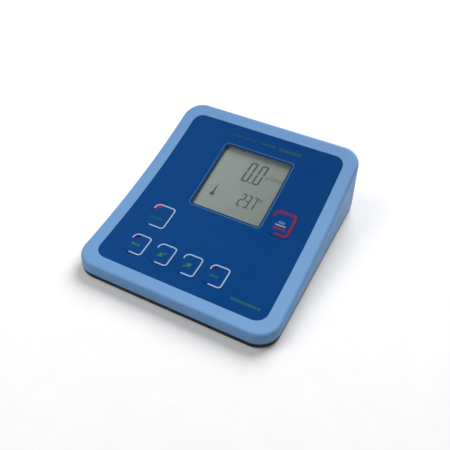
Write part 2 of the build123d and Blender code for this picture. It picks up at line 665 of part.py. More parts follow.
def battery_snap():
    """Moulded strip that presses onto the battery's two studs."""
    width, thick, height = SNAP
    middle = BATTERY_Z + BATTERY[2] / 2
    strip = Pos(BATTERY_CENTRE[0], BATTERY_FRONT - 0.3 - thick / 2, middle) * Box(width, thick, height)
    strip = fillet(strip.edges().filter_by(Axis.Y), 2.0)
    for side in (-1, 1):
        strip -= battery_stud(side, STUD_RADIUS + 0.1, 3.0)
    return strip


def lead(points, radius, radii):
    """A round wire along straight runs joined by arcs."""
    path = FilletPolyline(*points, radius=radii)
    start = path @ 0
    section = Plane(start, z_dir=path % 0) * Circle(radius)
    return sweep(section, path)


def battery_lead(offset):
    """One of the two leads from the snap over the main board's edge."""
    x = BATTERY_CENTRE[0] - SNAP[0] / 2
    y = BATTERY_FRONT - 2.0
    z = sum(BATTERY_LEAD_HOLE) / 2 + offset
    turn = (x - 18.5, y + 5.0)
    points = ((x - 0.1, y, z), (x - 11.5, y, z), (*turn, z - 2.4), (*turn, BOARD_TOP + 0.1))
    return lead(points, BATTERY_LEAD_RADIUS, (2.6, 1.3))


# ---------------------------------------------------------------- rear sockets
SOCKET_INSIDE = SOCKET_FACE_Y - SOCKET_WALL


def along_y(radius, low, high, x, z=SOCKET_Z):
    """A cylinder along Y at a socket's place."""
    return Pos(x, (low + high) / 2, z) * Rotation(90, 0, 0) * Cylinder(radius, high - low)


def hex_nut(across, hole, low, high, x):
    """A hexagon nut round a socket's thread."""
    outline = RegularPolygon(across / 2, 6, major_radius=False) - Circle(hole)
    nut = extrude(Plane.XZ.offset(-high) * Pos(x, SOCKET_Z) * outline, amount=high - low)
    return nut


def last_circle(body):
    """A turned body's rearmost round edge."""
    return body.edges().filter_by(GeomType.CIRCLE).sort_by(Axis.Y)[-1]


BNC_TIP = SOCKET_FACE_Y + BNC_LENGTH
TEMP_TIP = SOCKET_FACE_Y + TEMP_LENGTH


def bnc_body():
    face = SOCKET_FACE_Y
    body = along_y(BNC_FLANGE, face, face + 2.0, BNC_X)
    body += along_y(BNC_THREAD, face - BNC_BACK, face + 0.5, BNC_X)
    body += along_y(BNC_SHOULDER, face + 1.5, face + 4.0, BNC_X)
    body += along_y(BNC_BARREL, face + 3.5, BNC_TIP, BNC_X)
    body = chamfer(last_circle(body), 0.35)
    radius, height, setback = BNC_LUG
    for side in (-1, 1):
        place = Pos(BNC_X + side * BNC_BARREL, BNC_TIP - setback, SOCKET_Z)
        body += place * Rotation(0, 90, 0) * Cylinder(radius, height)
    body -= along_y(BNC_BORE, BNC_TIP - 9.0, BNC_TIP + 1, BNC_X)
    return body - along_y(BNC_CORE, face - BNC_BACK - 1, BNC_TIP, BNC_X)


def bnc_insulator():
    sleeve = along_y(BNC_CORE - THREAD_FIT, SOCKET_FACE_Y - BNC_BACK + 0.5, BNC_TIP - 3.6, BNC_X)
    return sleeve - along_y(BNC_PIN, 0, BNC_TIP, BNC_X)


def bnc_contact():
    pin = along_y(BNC_PIN - 0.02, SOCKET_FACE_Y - BNC_BACK - 3, BNC_TIP - 4.2, BNC_X)
    return pin - along_y(BNC_PIN_BORE, BNC_TIP - 9, BNC_TIP, BNC_X)


def bnc_washer():
    ring = along_y(6.6, SOCKET_INSIDE - 0.8, SOCKET_INSIDE, BNC_X)
    return ring - along_y(BNC_THREAD + THREAD_FIT, 0, BNC_TIP, BNC_X)


def bnc_nut():
    return hex_nut(13.0, BNC_THREAD + THREAD_FIT, SOCKET_INSIDE - 3.3, SOCKET_INSIDE - 0.8, BNC_X)


def temp_jack_body():
    face = SOCKET_FACE_Y
    body = along_y(TEMP_FLANGE, face, face + 1.6, TEMP_X)
    body += along_y(TEMP_BARREL, face + 1.0, TEMP_TIP, TEMP_X)
    body = chamfer(last_circle(body), 0.3)
    body += along_y(TEMP_THREAD, face - TEMP_BACK, face + 0.5, TEMP_X)
    return body - along_y(TEMP_BORE, face - TEMP_BACK - 1, TEMP_TIP + 1, TEMP_X)


def temp_jack_insulator():
    face = SOCKET_FACE_Y
    sleeve = along_y(TEMP_BORE - THREAD_FIT, face - TEMP_BACK + 0.5, TEMP_TIP - 0.4, TEMP_X)
    return sleeve - along_y(TEMP_PIN, face - 1, TEMP_TIP + 1, TEMP_X)


def temp_jack_nut():
    return hex_nut(11.0, TEMP_THREAD + THREAD_FIT, SOCKET_INSIDE - 2.4, SOCKET_INSIDE, TEMP_X)


def power_jack_body():
    face = SOCKET_FACE_Y
    body = chamfer(last_circle(along_y(POWER_FLANGE, face, face + 2.0, POWER_X)), 0.4)
    body += along_y(POWER_THREAD, face - POWER_BACK, face + 0.5, POWER_X)
    return body - along_y(POWER_BORE, face - POWER_DEPTH, face + 3, POWER_X)


def power_jack_pin():
    pin = along_y(POWER_PIN, SOCKET_FACE_Y - POWER_DEPTH, SOCKET_FACE_Y + 0.6, POWER_X)
    return chamfer(pin.edges().sort_by(Axis.Y)[-1], 0.25)


def power_jack_nut():
    return hex_nut(11.0, POWER_THREAD + THREAD_FIT, SOCKET_INSIDE - 2.2, SOCKET_INSIDE, POWER_X)


def socket_lead(x, start_y, radius, board_y):
    """A lead from the back of a socket, forward and down to the main board."""
    points = ((x, start_y, SOCKET_Z), (x, board_y, SOCKET_Z), (x, board_y, BOARD_TOP + 0.1))
    return lead(points, radius, LEAD_BEND)


PARTS = {
    "top_shell": top_shell,
    "base_tray": base_tray,
    "battery_door": battery_door,
    "case_screws": case_screws,
    "overlay_film": overlay_film,
    "membrane_spacer": membrane_spacer,
    "membrane_circuit": membrane_circuit,
    "membrane_tail": membrane_tail,
    "window_pane": window_pane,
    "window_gasket": window_gasket,
    "lcd_glass": lcd_glass,
    "lcd_reflector": lcd_reflector,
    "zebra_strip_front": lambda: zebra_strip(-1),
    "zebra_strip_rear": lambda: zebra_strip(1),
    "lcd_frame": lcd_frame,
    "display_board": display_board,
    "display_screws": display_screws,
    "keypad_connector": keypad_connector,
    "main_board": main_board,
    "board_screws": board_screws,
    "processor_chip": processor_chip,
    "small_chips": small_chips,
    "capacitors": capacitors,
    "input_shield": input_shield,
    "board_header": board_header,
    "display_ribbon": display_ribbon,
    "battery": battery,
    "battery_snap": battery_snap,
    "battery_lead_red": lambda: battery_lead(1.2),
    "battery_lead_black": lambda: battery_lead(-1.2),
    "bnc_body": bnc_body,
    "bnc_insulator": bnc_insulator,
    "bnc_contact": bnc_contact,
    "bnc_washer": bnc_washer,
    "bnc_nut": bnc_nut,
    "temp_jack_body": temp_jack_body,
    "temp_jack_insulator": temp_jack_insulator,
    "temp_jack_nut": temp_jack_nut,
    "power_jack_body": power_jack_body,
    "power_jack_pin": power_jack_pin,
    "power_jack_nut": power_jack_nut,
    "electrode_lead": lambda: socket_lead(BNC_X, SOCKET_FACE_Y - BNC_BACK - 3.0, 1.2, 77.0),
    "temp_lead": lambda: socket_lead(TEMP_X, SOCKET_FACE_Y - TEMP_BACK, 0.9, 80.0),
    "power_lead": lambda: socket_lead(POWER_X, SOCKET_FACE_Y - POWER_BACK, 0.9, 78.0),
}
for key in KEYS:
    PARTS[f"key_{key}"] = lambda key=key: key_pad(key)
    PARTS[f"dome_{key}"] = lambda key=key: snap_dome(key)
for row, y_side in (("front", -1), ("rear", 1)):
    for column, x_side in (("left", -1), ("right", 1)):
        PARTS[f"foot_{row}_{column}"] = lambda x=x_side * FOOT[0], y=y_side * FOOT[1]: foot(x, y)


def main():
    os.makedirs("parts", exist_ok=True)
    to_origin = Pos(0, -REAR_OVERHANG / 2, 0)
    for name, make in PARTS.items():
        export_step(to_origin * make(), f"parts/{name}.step")


main()
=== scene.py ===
"""Looks of the bench-top pH meter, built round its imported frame. Metres, +Y to the rear, +Z up."""

import json
import math

import bmesh
import bpy
from mathutils import Matrix, Vector
from mathutils.bvhtree import BVHTree


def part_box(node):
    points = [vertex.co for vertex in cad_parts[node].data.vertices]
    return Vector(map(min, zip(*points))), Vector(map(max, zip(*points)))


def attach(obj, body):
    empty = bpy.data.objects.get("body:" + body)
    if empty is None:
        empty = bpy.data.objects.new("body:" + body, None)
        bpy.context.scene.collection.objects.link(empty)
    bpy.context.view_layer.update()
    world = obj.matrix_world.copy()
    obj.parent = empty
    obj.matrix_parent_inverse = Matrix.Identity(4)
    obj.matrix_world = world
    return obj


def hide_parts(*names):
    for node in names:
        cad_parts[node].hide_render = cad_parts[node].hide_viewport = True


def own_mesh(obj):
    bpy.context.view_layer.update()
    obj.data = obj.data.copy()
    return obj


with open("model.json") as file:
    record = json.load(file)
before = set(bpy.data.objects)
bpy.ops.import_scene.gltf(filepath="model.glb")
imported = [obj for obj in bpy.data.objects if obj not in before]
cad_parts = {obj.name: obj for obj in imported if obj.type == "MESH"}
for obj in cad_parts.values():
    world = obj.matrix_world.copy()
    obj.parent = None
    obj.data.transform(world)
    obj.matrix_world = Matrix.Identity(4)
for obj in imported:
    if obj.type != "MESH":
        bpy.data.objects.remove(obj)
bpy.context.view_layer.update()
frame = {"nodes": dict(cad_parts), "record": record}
record = frame["record"]
nodes = frame["nodes"]

MM = 0.001
HOUSING = "housing"
KEY_NAMES = ("function", "memory", "up", "down", "calibrate", "power")

INK = 0.05 * MM             # thickness of a print above its surface
SEGMENT_INK = 0.02 * MM     # the display's lit segments
UNLIT_INK = 0.01 * MM
INK_SUNK = 0.02 * MM        # how far a print reaches into the surface
PRINT_STEP = 1.2 * MM       # longest straight stretch of a print on the hollow face


def middle(node):
    low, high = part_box(node)
    return (low + high) / 2


def face_tree(node):
    mesh = nodes[node].data
    return BVHTree.FromPolygons([v.co for v in mesh.vertices], [p.vertices for p in mesh.polygons])


# ---------------------------------------------------------------- camera, light and floor
CAMERA_TARGET = Vector((5.1, -15.3, 20.0)) * MM
CAMERA_AZIMUTH = math.radians(25.63)
CAMERA_ELEVATION = math.radians(43.22)
CAMERA_ROLL = math.radians(2.32)
CAMERA_DISTANCE = 509.9 * MM
CAMERA_LENS = 47.48
SENSOR_WIDTH = 36.0
LIGHTS = {                  # place, diameter and power
    "key": ((0.10, 1.15, 1.1), 1.3, 34.5),
    "fill": ((-0.85, -0.5, 1.0), 1.0, 9.5),
}
WORLD_STRENGTH = 0.26
FLOOR_HALF = 6.0


def make_camera():
    azimuth, elevation, roll = CAMERA_AZIMUTH, CAMERA_ELEVATION, CAMERA_ROLL
    ahead = Vector((-math.sin(azimuth) * math.cos(elevation), math.cos(azimuth) * math.cos(elevation),
                    -math.sin(elevation)))
    level = Vector((math.cos(azimuth), math.sin(azimuth), 0))
    above = level.cross(ahead)
    right = level * math.cos(roll) + above * math.sin(roll)
    upward = right.cross(ahead)
    camera = bpy.data.objects.new("camera", bpy.data.cameras.new("camera"))
    camera.data.lens = CAMERA_LENS
    camera.data.sensor_width = SENSOR_WIDTH
    camera.data.clip_start = 0.01
    camera.matrix_world = (
        Matrix.Translation(CAMERA_TARGET - ahead * CAMERA_DISTANCE)
        @ Matrix((right, upward, -ahead)).transposed().to_4x4()
    )
    bpy.context.scene.collection.objects.link(camera)
    bpy.context.scene.camera = camera


def area_light(name, place, size, power):
    """A round soft light aimed at the origin."""
    lamp = bpy.data.lights.new(name, "AREA")
    lamp.shape = "DISK"
    lamp.size = size
    lamp.energy = power
    light = bpy.data.objects.new(name, lamp)
    light.location = place
    light.rotation_euler = (-Vector(place)).to_track_quat("-Z", "Y").to_euler()
    bpy.context.scene.collection.objects.link(light)


def make_light():
    for name, (place, size, power) in LIGHTS.items():
        area_light(name, place, size, power)
    world = bpy.data.worlds.new("studio")
    world.use_nodes = True
    background = world.node_tree.nodes["Background"]
    background.inputs["Color"].default_value = (1.0, 1.0, 1.0, 1)
    background.inputs["Strength"].default_value = WORLD_STRENGTH
    bpy.context.scene.world = world


def make_floor():
    half = FLOOR_HALF
    corners = [(-half, -half, 0), (half, -half, 0), (half, half, 0), (-half, half, 0)]
    mesh = bpy.data.meshes.new("floor")
    mesh.from_pydata(corners, [], [(0, 1, 2, 3)])
    floor = bpy.data.objects.new("floor", mesh)
    bpy.context.scene.collection.objects.link(floor)
    finish = Finish("floor_paper", roughness=0.9)
    finish.paint(finish.ramp(finish.noise(20), [(0.3, (0.76, 0.76, 0.765)), (0.7, (0.78, 0.78, 0.78))]))
    mesh.materials.append(finish.material)


# ---------------------------------------------------------------- materials
MIX_FIRST, MIX_SECOND, MIX_RESULT = 6, 7, 2     # the Mix node's colour sockets


class Finish:
    """One procedural material: a Principled shader and short calls that add what drives it.

    Textures run in the piece's own coordinates. Sizes of their detail are in millimetres.
    """

    def __init__(self, name, roughness=0.5, metallic=0.0, color=None, **sockets):
        self.material = bpy.data.materials.new(name)
        self.material.use_nodes = True
        self.tree = self.material.node_tree
        self.shader = self.tree.nodes["Principled BSDF"]
        self.shader.inputs["Roughness"].default_value = roughness
        self.shader.inputs["Metallic"].default_value = metallic
        if color:
            self.shader.inputs["Base Color"].default_value = (*color, 1)
        for socket, value in sockets.items():
            self.shader.inputs[socket.replace("_", " ")].default_value = value
        self.place = self.tree.nodes.new("ShaderNodeTexCoord").outputs["Object"]
        self.last_bump = None

    def node(self, kind, **inputs):
        made = self.tree.nodes.new(kind)
        for name, value in inputs.items():
            socket = made.inputs[name.replace("_", " ")]
            if isinstance(value, bpy.types.NodeSocket):
                self.tree.links.new(value, socket)
            else:
                socket.default_value = value
        return made

    def stretched(self, stretch, turn=(0, 0, 0)):
        """The coordinates scaled along each axis: a larger number makes shorter detail."""
        made = self.node("ShaderNodeMapping", Vector=self.place, Scale=stretch, Rotation=turn)
        return made.outputs["Vector"]

    def noise(self, size, detail=2.0, roughness=0.5, at=None):
        made = self.node("ShaderNodeTexNoise", Vector=at or self.place, Scale=1 / (size * MM), Detail=detail,
                         Roughness=roughness)
        return made.outputs["Fac"]

    def cell_edges(self, size, at):
        """Distance from the nearest border between cells of a size."""
        made = self.node("ShaderNodeTexVoronoi", Vector=at, Scale=1 / (size * MM))
        made.feature = "DISTANCE_TO_EDGE"
        return made.outputs["Distance"]

    def axis(self, name):
        return self.node("ShaderNodeSeparateXYZ", Vector=self.place).outputs[name]

    def ramp(self, value, stops):
        made = self.node("ShaderNodeValToRGB", Fac=value)
        ramp = made.color_ramp
        while len(ramp.elements) < len(stops):
            ramp.elements.new(0.5)
        for element, (position, color) in zip(ramp.elements, stops):
            element.position = position
            element.color = (*color, 1)
        return made.outputs["Color"]

    def span(self, value, from_low, from_high, to_low, to_high):
        made = self.node("ShaderNodeMapRange", Value=value, From_Min=from_low, From_Max=from_high,
                         To_Min=to_low, To_Max=to_high)
        return made.outputs["Result"]

    def blend(self, first, second, how):
        """Two colours added or multiplied in full."""
        made = self.tree.nodes.new("ShaderNodeMix")
        made.data_type = "RGBA"
        made.blend_type = how
        made.inputs["Factor"].default_value = 1.0
        self.tree.links.new(first, made.inputs[MIX_FIRST])
        self.tree.links.new(second, made.inputs[MIX_SECOND])
        return made.outputs[MIX_RESULT]

    def paint(self, color):
        self.tree.links.new(color, self.shader.inputs["Base Color"])

    def dull(self, value):
        self.tree.links.new(value, self.shader.inputs["Roughness"])

    def bump(self, height, depth):
        """Adds relief of a depth in millimetres, on top of any added before."""
        made = self.node("ShaderNodeBump", Height=height, Distance=depth * MM, Strength=1.0)
        if self.last_bump:
            self.tree.links.new(self.last_bump, made.inputs["Normal"])
        self.last_bump = made.outputs["Normal"]
        self.tree.links.new(self.last_bump, self.shader.inputs["Normal"])


def shade(color, factor):
    return tuple(channel * factor for channel in color)


def moulded(name, color, roughness, grain, depth, vary=0.05, spread=0.08, **sockets):
    """Moulded plastic: cloudy colour, uneven sheen and a fine eroded grain."""
    finish = Finish(name, **sockets)
    cloud = finish.noise(38, detail=3)
    finish.paint(finish.ramp(cloud, [(0.3, shade(color, 1 - vary)), (0.7, shade(color, 1 + vary))]))
    sheen = finish.noise(9, detail=4, roughness=0.65)
    finish.dull(finish.span(sheen, 0.3, 0.7, roughness - spread, roughness + spread))
    finish.bump(finish.noise(grain, detail=3, roughness=0.6), depth)
    finish.bump(finish.noise(grain * 14, detail=1), depth * 0.8)
    return finish.material


def metal(name, color, roughness, along, vary=0.12):
    """Drawn or turned metal: fine lines along one direction and a little tarnish."""
    finish = Finish(name, metallic=1.0)
    lines = finish.noise(0.25, detail=3, at=finish.stretched(along))
    tarnish = finish.noise(4, detail=4, roughness=0.6)
    clean = finish.ramp(tarnish, [(0.35, shade(color, 1 - vary)), (0.65, color)])
    finish.paint(clean)
    finish.dull(finish.span(lines, 0.3, 0.7, roughness * 0.7, roughness * 1.5))
    finish.bump(lines, 0.006)
    return finish.material


def printed(name, color, roughness=0.38):
    """Screen-printed ink: a nearly even colour with thin and thick places."""
    finish = Finish(name, Specular_IOR_Level=0.1)
    body = finish.noise(1.1, detail=4, roughness=0.7)
    finish.paint(finish.ramp(body, [(0.3, shade(color, 0.88)), (0.65, shade(color, 1.06))]))
    finish.dull(finish.span(finish.noise(0.5), 0.3, 0.7, roughness - 0.08, roughness + 0.08))
    finish.bump(finish.noise(0.18, detail=2), 0.004)
    return finish.material


SHELL_BLUE = (0.128, 0.268, 0.500)
# Painted light: the film's colour is lighter at the left and darker at the right, as the light falls.
FILM_LIT_LEFT = (0.0050, 0.0460, 0.184)
FILM_SHADED_RIGHT = (0.0010, 0.0375, 0.162)
BASE_DARK = (0.0075, 0.0115, 0.024)


def shell_plastic():
    finish = Finish("shell_plastic", Specular_IOR_Level=0.2)
    cloud = finish.noise(45, detail=3)
    base = finish.ramp(cloud, [(0.3, shade(SHELL_BLUE, 0.965)), (0.7, shade(SHELL_BLUE, 1.035))])
    handled = finish.noise(7, detail=5, roughness=0.7)
    paler = finish.ramp(handled, [(0.62, (0, 0, 0)), (0.8, (0.016, 0.016, 0.014))])
    finish.paint(finish.blend(base, paler, "ADD"))
    finish.dull(finish.span(finish.noise(12, detail=4, roughness=0.6), 0.3, 0.7, 0.40, 0.54))
    finish.bump(finish.noise(0.34, detail=3, roughness=0.6), 0.018)
    finish.bump(finish.noise(6, detail=1), 0.010)
    return finish.material


def overlay_print():
    """Film printed on its back: dark blue, with painted shade that makes it darker to the right."""
    finish = Finish("overlay_print", Specular_IOR_Level=0.05, Specular_Tint=(0.1, 0.55, 1.0, 1))
    low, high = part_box("overlay_film")
    across = finish.span(finish.axis("X"), low.x, high.x, 0, 1)
    # Painted shade: a ramp from lighter at the left to darker at the right.
    base = finish.ramp(across, [(0.1, FILM_LIT_LEFT), (0.8, FILM_SHADED_RIGHT)])
    cloud = finish.noise(60, detail=2)
    mottle = finish.ramp(cloud, [(0.3, (0.96, 0.96, 0.96)), (0.7, (1.04, 1.04, 1.04))])
    finish.paint(finish.blend(base, mottle, "MULTIPLY"))
    smears = finish.noise(14, detail=5, roughness=0.65, at=finish.stretched((1, 0.45, 1), (0, 0, 0.4)))
    finish.dull(finish.span(smears, 0.3, 0.7, 0.36, 0.50))
    finish.bump(finish.noise(0.16, detail=2, roughness=0.6), 0.008)
    finish.bump(finish.noise(11, detail=1), 0.012)
    return finish.material


def window_clear():
    finish = Finish("window_clear", color=(0.45, 0.5, 0.5), Alpha=0.05, Specular_IOR_Level=0.5)
    finish.dull(finish.span(finish.noise(5, detail=4, roughness=0.7), 0.3, 0.75, 0.05, 0.16))
    finish.bump(finish.noise(9, detail=1), 0.01)
    return finish.material


def lcd_glass():
    """Reflective display: grey-green with a faint sparkle, and painted shade that makes it darker to the
    right.
    """
    finish = Finish("lcd_glass", Specular_IOR_Level=0.15)
    # Painted shade: the glass is paler at the left and darker to the right.
    left, right = (0.214, 0.248, 0.228), (0.160, 0.190, 0.168)
    low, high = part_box("lcd_glass")
    across = finish.span(finish.axis("X"), low.x, high.x, 0, 1)
    base = finish.ramp(across, [(0.1, left), (0.9, right)])
    grain = finish.noise(0.14, detail=1)
    sparkle = finish.ramp(grain, [(0.35, (0.94, 0.94, 0.94)), (0.65, (1.05, 1.05, 1.05))])
    finish.paint(finish.blend(base, sparkle, "MULTIPLY"))
    finish.dull(finish.span(finish.noise(3, detail=3), 0.3, 0.7, 0.38, 0.5))
    finish.bump(finish.noise(0.12, detail=1), 0.002)
    return finish.material


def board_laminate():
    """Solder-masked laminate: raised tracks on two directions and tinned pads."""
    finish = Finish("board_laminate", Specular_IOR_Level=0.5)
    tracks = finish.cell_edges(2.4, at=finish.stretched((1, 0.22, 1)))
    weave = finish.noise(0.7, detail=2, at=finish.stretched((1, 4, 1)))
    mask = finish.ramp(tracks, [(0.05, (0.02, 0.20, 0.075)), (0.09, (0.008, 0.115, 0.045))])
    mottled = finish.ramp(weave, [(0.3, (0.9, 0.9, 0.9)), (0.7, (1.06, 1.06, 1.06))])
    finish.paint(finish.blend(mask, mottled, "MULTIPLY"))
    finish.dull(finish.span(weave, 0.3, 0.7, 0.24, 0.4))
    finish.bump(finish.span(tracks, 0.05, 0.09, 1, 0), 0.03)
    finish.bump(weave, 0.01)
    return finish.material


def battery_case():
    """Plain jacket in two tones, split across its length."""
    finish = Finish("battery_case", metallic=0.55, Coat_Weight=0.5, Coat_Roughness=0.15)
    low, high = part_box("battery")
    along = finish.span(finish.axis("Y"), low.y, high.y, 0, 1)
    tone = finish.ramp(along, [(0.30, (0.42, 0.33, 0.16)), (0.32, (0.035, 0.037, 0.04))])
    wear = finish.noise(5, detail=5, roughness=0.7)
    worn = finish.ramp(wear, [(0.4, (0.9, 0.9, 0.9)), (0.7, (1.1, 1.1, 1.1))])
    finish.paint(finish.blend(tone, worn, "MULTIPLY"))
    finish.dull(finish.span(finish.noise(2, detail=3), 0.3, 0.7, 0.22, 0.36))
    finish.bump(finish.noise(3, detail=2), 0.015)
    return finish.material


def ribbon_cable():
    """Flat cable: parallel insulated strands side by side."""
    finish = Finish("ribbon")
    strands = finish.node("ShaderNodeTexWave", Vector=finish.place, Scale=160, Distortion=0.0).outputs["Fac"]
    finish.paint(finish.ramp(strands, [(0.1, (0.19, 0.20, 0.21)), (0.5, (0.43, 0.44, 0.46))]))
    finish.dull(finish.span(finish.noise(1.5, detail=3), 0.3, 0.7, 0.4, 0.55))
    finish.bump(strands, 0.12)
    return finish.material


FINISHES = {
    "shell_plastic": shell_plastic,
    "base_plastic": lambda: moulded("base_plastic", BASE_DARK, 0.52, 0.45, 0.03, vary=0.12,
                                    Specular_IOR_Level=0.25),
    "foot_rubber": lambda: moulded("foot_rubber", (0.018, 0.018, 0.019), 0.75, 0.3, 0.03, vary=0.2),
    "case_screw_steel": lambda: metal("case_screw_steel", (0.62, 0.61, 0.57), 0.28, (1, 1, 6)),
    "overlay_print": overlay_print,
    "membrane_sheet": lambda: moulded("membrane_sheet", (0.66, 0.68, 0.64), 0.35, 0.25, 0.006),
    "dome_steel": lambda: metal("dome_steel", (0.60, 0.60, 0.59), 0.22, (1, 5, 1)),
    "window_clear": window_clear,
    "lcd_glass": lcd_glass,
    "lcd_reflector": lambda: metal("lcd_reflector", (0.75, 0.77, 0.75), 0.45, (1, 1, 1)),
    "elastomer": lambda: moulded("elastomer", (0.014, 0.014, 0.015), 0.62, 0.2, 0.01, vary=0.15),
    "lcd_frame_plastic": lambda: moulded("lcd_frame_plastic", (0.02, 0.02, 0.021), 0.5, 0.4, 0.02),
    "board_laminate": board_laminate,
    "connector_plastic": lambda: moulded("connector_plastic", (0.016, 0.016, 0.017), 0.36, 0.5, 0.012,
                                         vary=0.15),
    "socket_insulator": lambda: moulded("socket_insulator", (0.78, 0.77, 0.72), 0.42, 0.5, 0.01),
    "chip_plastic": lambda: moulded("chip_plastic", (0.02, 0.02, 0.022), 0.6, 0.15, 0.01, vary=0.12),
    "capacitor_sleeve": lambda: moulded("capacitor_sleeve", (0.012, 0.022, 0.07), 0.3, 0.8, 0.01,
                                        vary=0.1),
    "tinned_steel": lambda: metal("tinned_steel", (0.62, 0.62, 0.59), 0.34, (5, 1, 1)),
    "ribbon": ribbon_cable,
    "battery_case": battery_case,
    "lead_red": lambda: moulded("lead_red", (0.42, 0.012, 0.010), 0.38, 0.4, 0.01, vary=0.1),
    "lead_black": lambda: moulded("lead_black", (0.015, 0.015, 0.015), 0.4, 0.4, 0.01, vary=0.15),
    "plated_brass": lambda: metal("plated_brass", (0.70, 0.68, 0.63), 0.2, (1, 9, 1)),
    "gold_contact": lambda: metal("gold_contact", (0.86, 0.60, 0.22), 0.2, (1, 9, 1)),
}
INKS = {
    "key_line": (0.29, 0.39, 0.55),
    "window_line": (0.024, 0.115, 0.29),
    "window_shade": (0.006, 0.026, 0.065),
    "power_red": (0.165, 0.007, 0.045),
    "lamp_red": (0.28, 0.006, 0.06),
    "lamp_dark": (0.018, 0.006, 0.045),
    "bright_green": (0.03, 0.15, 0.05),
    "label_green": (0.014, 0.095, 0.075),
    "dull_green": (0.011, 0.072, 0.088),
    "faint_green": (0.009, 0.062, 0.098),
    "corner_green": (0.008, 0.080, 0.100),
    "power_blue": (0.045, 0.14, 0.38),
    "power_white": (0.27, 0.36, 0.40),
    "segment": (0.030, 0.040, 0.038),
    "segment_faint": (0.048, 0.058, 0.055),
    "segment_unlit": (0.215, 0.251, 0.222),
    "socket_sign": (0.50, 0.58, 0.66),
    "door_sign": (0.10, 0.115, 0.14),
}


def dress_nodes():
    slots = {part["node"]: part["material_slot"] for part in record["subparts"]}
    made = {name: make() for name, make in FINISHES.items()}
    for name, node in nodes.items():
        for place in node.material_slots:
            place.material = made[slots[name]]


# ---------------------------------------------------------------- thin prints
class Surface:
    """A CAD node seen from above, that plan points are dropped onto."""

    def __init__(self, node):
        self.tree = face_tree(node)

    def below(self, point):
        return self.tree.ray_cast(Vector((point[0], point[1], 1)), Vector((0, 0, -1)))[:2]

    def __call__(self, point, lift):
        place, normal = self.below(point)
        if normal.z < 0:
            normal = -normal
        return place + normal * lift

    def edge_from(self, start, step):
        """First plan point over the node, going in steps from one over its opening."""
        point = Vector((start[0], start[1]))
        while self.below(point)[0] is None:
            point += Vector(step)
        return point


class Plane:
    """A flat, tilted top face: points are given across it and up its slope, from an origin on it."""

    def __init__(self, node, offset=(0, 0)):
        centre = middle(node)
        place, normal = face_tree(node).ray_cast(Vector((centre.x, centre.y, 1)), Vector((0, 0, -1)))[:2]
        self.normal = normal if normal.z > 0 else -normal
        self.across = Vector((1, 0, 0))
        self.up = self.normal.cross(self.across)
        self.origin = place + self.across * offset[0] + self.up * offset[1]

    def __call__(self, point, lift):
        return self.origin + self.across * point[0] + self.up * point[1] + self.normal * lift


CAP_SIDES = 6               # straight sides of a stroke's round end
inks = {}


def ink(name):
    if name not in inks:
        inks[name] = printed(name, INKS[name])
    return inks[name]


def print_piece(name, shapes, surface, color, body=HOUSING, lift=INK):
    """One thin closed print from plan shapes, each a (points, faces) pair, laid on a surface."""
    mesh = bpy.data.meshes.new(name)
    work = bmesh.new()
    for points, faces in shapes:
        tops = [work.verts.new(surface(point, lift)) for point in points]
        bottoms = [work.verts.new(surface(point, -INK_SUNK)) for point in points]
        edges = {}
        for face in faces:
            work.faces.new([tops[i] for i in face])
            work.faces.new([bottoms[i] for i in reversed(face)])
            for a, b in zip(face, face[1:] + face[:1]):
                edges[(a, b)] = True
        for a, b in edges:
            if (b, a) not in edges:
                work.faces.new([tops[b], tops[a], bottoms[a], bottoms[b]])
    bmesh.ops.recalc_face_normals(work, faces=work.faces)
    work.to_mesh(mesh)
    work.free()
    mesh.materials.append(ink(color))
    piece = bpy.data.objects.new(name, mesh)
    bpy.context.scene.collection.objects.link(piece)
    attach(piece, body)
    return piece


CORNER_STEP = 12            # degrees between the points of a rounded corner


def rounded(corners, radii, closed=False):
    """Points of a path through corners, with an arc of the given radius at each."""
    count = len(corners)
    points = []
    for i, corner in enumerate(corners):
        here = Vector(corner)
        radius = radii[i]
        if radius == 0 or (not closed and i in (0, count - 1)):
            points.append(here)
            continue
        back = (Vector(corners[i - 1]) - here).normalized()
        on = (Vector(corners[(i + 1) % count]) - here).normalized()
        half = back.angle(on) / 2
        centre = here + (back + on).normalized() * radius / math.sin(half)
        start = here + back * radius / math.tan(half)
        finish = here + on * radius / math.tan(half)
        first, last = start - centre, finish - centre
        turn = first.angle_signed(last)
        steps = max(3, round(abs(math.degrees(turn)) / CORNER_STEP))
        for step in range(steps + 1):
            angle = -turn * step / steps
            points.append(centre + Matrix.Rotation(angle, 2) @ first)
    return points


def refined(points, step, closed=False):
    """The same path with no stretch longer than a step."""
    result = []
    pairs = list(zip(points, points[1:] + points[:1])) if closed else list(zip(points, points[1:]))
    for start, end in pairs:
        pieces = max(1, math.ceil((end - start).length / step))
        result += [start.lerp(end, i / pieces) for i in range(pieces)]
    if not closed:
        result.append(points[-1])
    return result


def stroke(path, width, closed=False):
    """A band of constant width along a path, with round ends unless it is closed."""
    path = [point for i, point in enumerate(path) if i == 0 or (point - path[i - 1]).length > 1e-7]
    count = len(path)
    left, right = [], []
    for i, here in enumerate(path):
        before = path[i - 1] if (closed or i > 0) else here
        after = path[(i + 1) % count] if (closed or i < count - 1) else here
        entering = (here - before if i > 0 or closed else after - here).normalized()
        leaving = (after - here if i < count - 1 or closed else here - before).normalized()
        ahead = (entering + leaving).normalized()
        side = Vector((-ahead.y, ahead.x)) * width / 2 / max(0.5, ahead.dot(leaving))
        left.append(here + side)
        right.append(here - side)
    points = left + right
    span = count if closed else count - 1
    faces = [[i, (i + 1) % count, count + (i + 1) % count, count + i] for i in range(span)]
    if closed:
        return points, faces
    angles = [math.pi / 2 - math.pi * step / CAP_SIDES for step in range(1, CAP_SIDES)]
    for end, inner, sides in ((0, 1, (count, 0)), (count - 1, count - 2, (count - 1, 2 * count - 1))):
        outward = (path[end] - path[inner]).normalized()
        first = len(points)
        points += [path[end] + Matrix.Rotation(angle, 2) @ outward * width / 2 for angle in angles]
        faces.append([sides[0], *range(first, len(points)), sides[1]])
    return points, faces


def polygon(points):
    return [Vector(point) for point in points], [list(range(len(points)))]


